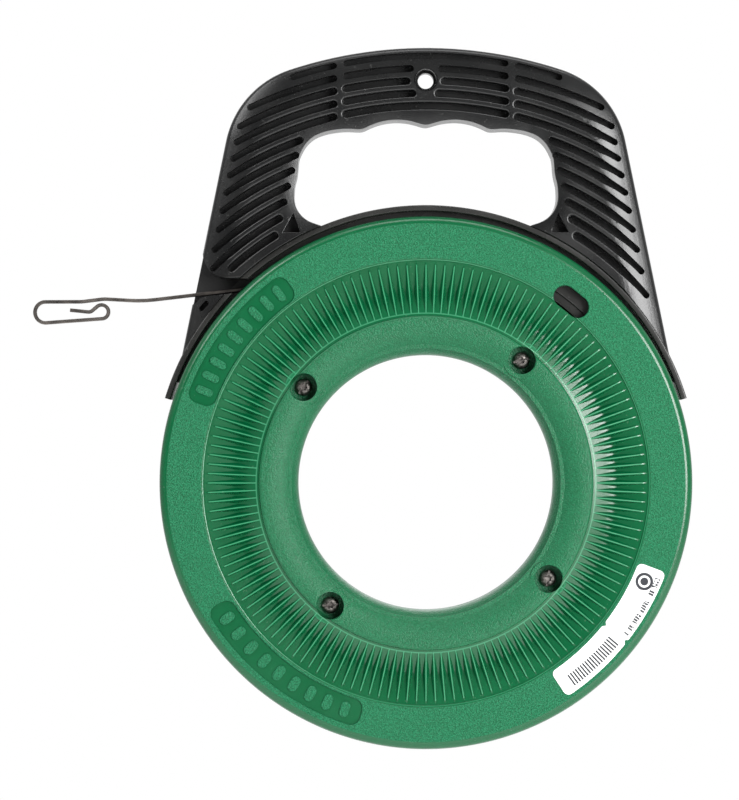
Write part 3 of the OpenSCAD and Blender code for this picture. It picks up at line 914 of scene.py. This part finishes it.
def black_plastic(name, dark, light, rough, grain_scale, depth):
    material, tree, surface, where = new_material(name)
    mould = use(tree, grain, {"Vector": where, "Scale": grain_scale})
    worn = use(tree, handling, {"Vector": where, "Amount": 0.7})
    tone = blend_colours(tree, worn["Rub"], dark, light)
    tone = blend_colours(tree, maths(tree, "MULTIPLY", worn["Dust"], 0.3), tone, (0.20, 0.20, 0.19, 1))
    gloss = maths(tree, "ADD", rough, maths(tree, "MULTIPLY", worn["Rub"], 0.09))
    gloss = maths(tree, "SUBTRACT", gloss, maths(tree, "MULTIPLY", worn["Scratch"], 0.06))
    return material, tree, surface, where, tone, gloss, bump(tree, mould["Height"], depth, 0.6)


black, tree, surface, where, tone, gloss, normal = black_plastic(
    "black_handle_plastic", (0.0060, 0.0062, 0.0064, 1), (0.0100, 0.0102, 0.0100, 1), 0.25,
    1500.0, 0.00003)
parts = add(tree, "SeparateXYZ", {0: where}).outputs
# The web at the floor of the tape gap is made rougher, and its darker tone is painted shade in that
# recess.
web = maths(tree, "MULTIPLY", step_between(tree, parts["Y"], 0.0018, 0.0026, 0.0001),
            step_between(tree, parts["X"], -0.120, -0.060, 0.0005))
web = maths(tree, "MULTIPLY", web, step_between(tree, parts["Z"], 0.055, 0.1, 0.0005))
tone = blend_colours(tree, web, tone, (0.0035, 0.0035, 0.0036, 1))
gloss = maths(tree, "ADD", gloss, maths(tree, "MULTIPLY", web, 0.4))
set_surface(tree, surface, Base_Color=tone, Roughness=gloss, IOR=1.5, Specular_IOR_Level=0.5,
            Normal=normal)

slick, tree, surface, where, tone, gloss, normal = black_plastic(
    "black_shoe_plastic", (0.018, 0.018, 0.017, 1), (0.028, 0.028, 0.026, 1), 0.24, 900.0, 0.00002)
set_surface(tree, surface, Base_Color=tone, Roughness=gloss, IOR=1.5, Normal=normal)


def dark_metal(name, dark, light, rough, metallic, streak_scale):
    material, tree, surface, where = new_material(name)
    worn = use(tree, handling, {"Vector": where, "Amount": 1.0})
    # The tone is mixed between the dark and the light colour in noise patches; on the screws these pale
    # patches are painted highlights.
    patches = add(tree, "TexNoise", {"Vector": where, "Scale": streak_scale, "Detail": 5.0})
    amount = add(tree, "MapRange", {"Value": patches.outputs["Fac"], "From Min": 0.35, "From Max": 0.68})
    tone = blend_colours(tree, amount.outputs[0], dark, light)
    gloss = maths(tree, "ADD", rough, maths(tree, "MULTIPLY", worn["Rub"], 0.15))
    set_surface(tree, surface, Base_Color=tone, Roughness=gloss, Metallic=metallic,
                Normal=bump(tree, patches.outputs["Fac"], 0.00003, 0.5))
    return material


# The pale patches on the screw heads are painted highlights.
screw_finish = dark_metal("black_oxide_steel", (0.060, 0.054, 0.050, 1), (0.340, 0.310, 0.290, 1),
                          0.34, 0.9, 900.0)
tape_finish = dark_metal("blued_spring_steel", (0.100, 0.092, 0.086, 1), (0.190, 0.170, 0.155, 1),
                         0.32, 1.0, 200.0)
anchor_finish = dark_metal("plated_steel", (0.42, 0.42, 0.40, 1), (0.62, 0.61, 0.57, 1), 0.28, 1.0, 500.0)

# %% [markdown]
# ## The label print
# The print is generic: a dark disc, rows of dashes that stand for lines of text, and a block of
# plain stripes. It is drawn from the angle and radius of the point on the reel.

# %% Label film
def dash_row(tree, spot, where, radius, tall, low, high, pitch, fill):
    line = step_between(tree, spot["Radius"], radius - tall / 2, radius + tall / 2, 0.06)
    run = step_between(tree, spot["Angle"], low, high, 0.05)
    beat = maths(tree, "FRACT", maths(tree, "DIVIDE", spot["Angle"], -pitch))
    letters = step_between(tree, beat, 0.12, 0.88, 0.05)
    gaps = add(tree, "TexNoise", {"W": spot["Angle"], "Scale": 0.35 / pitch, "Detail": 0.0},
               noise_dimensions="1D").outputs["Fac"]
    words = add(tree, "MapRange", {"Value": gaps, "From Min": 0.36, "From Max": 0.40}).outputs[0]
    strokes = add(tree, "TexNoise", {"Vector": where, "Scale": 1700.0 / tall, "Detail": 0.0})
    strokes = add(tree, "MapRange", {"Value": strokes.outputs["Fac"], "From Min": fill - 0.03,
                                     "From Max": fill + 0.03}).outputs[0]
    ink = maths(tree, "MULTIPLY", maths(tree, "MULTIPLY", line, run),
                maths(tree, "MULTIPLY", letters, words))
    return maths(tree, "MULTIPLY", ink, strokes)


film, tree, surface, where = new_material("printed_label_film")
spot = use(tree, place, {"Vector": where})
bold = dash_row(tree, spot, where, 104.3, 2.2, -37.4, -22.2, 0.62, 0.40)
small = dash_row(tree, spot, where, 101.3, 1.2, -36.4, -26.6, 0.38, 0.42)
lower = dash_row(tree, spot, where, 99.0, 1.2, -36.8, -26.2, 0.38, 0.42)
stripes = maths(tree, "FRACT", maths(tree, "MULTIPLY", spot["Angle"], 1.35))
stripes = add(tree, "MapRange", {"Value": stripes, "From Min": 0.40, "From Max": 0.50}).outputs[0]
stripes = maths(tree, "MULTIPLY", stripes, step_between(tree, spot["Angle"], -53.8, -39.9, 0.05))
stripes = maths(tree, "MULTIPLY", stripes, step_between(tree, spot["Radius"], 99.2, 104.6, 0.08))
disc_at = stand_up([[*polar(99.6, -24.3), band_height]])[0]
apart = add(tree, "VectorMath", {0: where, 1: tuple(disc_at)}, operation="DISTANCE").outputs["Value"]
spot_ink = add(tree, "MapRange", {"Value": apart, "From Min": 0.00375, "From Max": 0.00365}).outputs[0]
ring = step_between(tree, apart, 0.0017, 0.0025, 0.00008)
spot_ink = maths(tree, "MULTIPLY", spot_ink, maths(tree, "SUBTRACT", 1.0, ring))
dark_ink = maths(tree, "MAXIMUM", maths(tree, "MAXIMUM", bold, stripes), spot_ink)
grey_ink = maths(tree, "MAXIMUM", small, lower)
paper = blend_colours(tree, maths(tree, "MULTIPLY", grey_ink, 0.6), (0.86, 0.87, 0.86, 1),
                      (0.16, 0.16, 0.17, 1))
paper = blend_colours(tree, dark_ink, paper, (0.022, 0.024, 0.030, 1))
worn = use(tree, handling, {"Vector": where, "Amount": 0.5})
gloss = maths(tree, "ADD", 0.30, maths(tree, "MULTIPLY", worn["Rub"], 0.2))
fibre = use(tree, grain, {"Vector": where, "Scale": 700.0})
set_surface(tree, surface, Base_Color=paper, Roughness=gloss,
            Normal=bump(tree, fibre["Height"], 0.00002, 0.3))
print("finishes:", [m.name for m in bpy.data.materials])

# %% [markdown]
# ## Put the pieces on their bodies
# Each piece rides the body that carries it, stands in for its measured nodes, and takes its
# finish. The small anchor keeps its measured shape and only takes a finish.

# %% Settle the pieces
settle(front_shell, "case", "case_plastic", green, "front_case_shell")
settle(rear_shell, "case", "case_plastic", green, "rear_case_shell")
settle(label, "case", "label_film", film, "spec_label")
settle(coil, "case", "tape_steel", tape_finish, "tape_coil")
for k, screw in enumerate(case_screws):
    settle(screw, "case", "screw_black", screw_finish, f"case_screw_{k + 1}")
for k, screw in enumerate(handle_screws):
    settle(screw, "handle", "screw_black", screw_finish, f"handle_screw_{k + 1}")
settle(front_half, "handle", "handle_plastic", black, "handle_front_half")
settle(rear_half, "handle", "handle_plastic", black, "handle_rear_half")
settle(shoe, "handle", "shoe_plastic", slick, "rim_shoe")
settle(lead, "lead", "tape_steel", tape_finish, "tape_lead")
anchor = bpy.data.objects["tape_anchor"]
anchor.data.materials.clear()
anchor.data.materials.append(anchor_finish)

# %% [markdown]
# ## Stage, light and camera
# The reel hangs from its hole well above a plain pale floor, as on a hook in a van. Large soft
# lights stand to the right and to the left, one hangs above and one stands behind, and the room
# is dark at the viewer's back. So flat faces stay deep in colour and rounded edges are drawn by
# light.

# %% Stage
floor_mesh = bpy.data.meshes.new("floor")
floor_side, floor_level = 2.6, -0.42
floor_corners = [(x * floor_side, y * floor_side, floor_level)
                 for x, y in ((-1, -1), (1, -1), (1, 1), (-1, 1))]
floor_mesh.from_pydata(floor_corners, [], [(0, 1, 2, 3)])
floor = bpy.data.objects.new("floor", floor_mesh)
bpy.context.collection.objects.link(floor)
pale, tree, surface, where = new_material("pale_floor")
patches = add(tree, "TexNoise", {"Vector": where, "Scale": 3.0, "Detail": 2.0}).outputs["Fac"]
tone = blend_colours(tree, patches, (0.90, 0.90, 0.90, 1), (0.93, 0.93, 0.93, 1))
set_surface(tree, surface, Base_Color=tone, Roughness=0.8, Emission_Color=(1, 1, 1, 1),
            Emission_Strength=0.25)
floor.data.materials.append(pale)


def soft_light(name, place, aim, size, power):
    data = bpy.data.lights.new(name, "AREA")
    data.shape, data.size, data.size_y, data.energy = "RECTANGLE", size[0], size[1], power
    lamp = bpy.data.objects.new(name, data)
    bpy.context.collection.objects.link(lamp)
    lamp.location = place
    lamp.visible_camera = False
    from_to = np.array(aim) - np.array(place)
    lamp.rotation_euler = Vector(from_to.tolist()).to_track_quat("-Z", "Y").to_euler()
    return lamp


lamps = [soft_light("key_right", (0.86, -1.36, 0.24), (0, 0, 0), (0.70, 0.80), 30),
         soft_light("fill_left", (-0.95, -0.80, 0.95), (0, 0, 0.05), (0.40, 0.90), 9),
         soft_light("above", (0.1, -0.45, 1.5), (0, 0, 0.02), (1.2, 0.5), 8),
         soft_light("behind", (0.0, 1.5, 0.9), (0, 0, 0), (1.6, 1.0), 10)]

world = bpy.data.worlds.new("studio")
bpy.context.scene.world = world
world.use_nodes = True
tree = world.node_tree
sky = tree.nodes["Background"]
direction = add(tree, "SeparateXYZ", {0: add(tree, "TexCoord").outputs["Generated"]}).outputs["Y"]
dim = add(tree, "MapRange", {"Value": direction, "From Min": -0.95, "From Max": 0.95,
                             "To Min": 0.08, "To Max": 1.0}).outputs[0]
seen = add(tree, "LightPath").outputs["Is Camera Ray"]
tree.links.new(maths(tree, "MAXIMUM", dim, seen), sky.inputs["Strength"])
sky.inputs["Color"].default_value = (1, 1, 1, 1)

scene = bpy.context.scene
scene.view_settings.view_transform = "Standard"
camera_data = bpy.data.cameras.new("camera")
camera_data.lens, camera_data.sensor_width = 216.4, 36
camera = bpy.data.objects.new("camera", camera_data)
bpy.context.collection.objects.link(camera)
camera.location = (-0.0235, -2.0195, 0.0345)
camera.rotation_euler = (math.radians(90), 0, 0)
scene.camera = camera
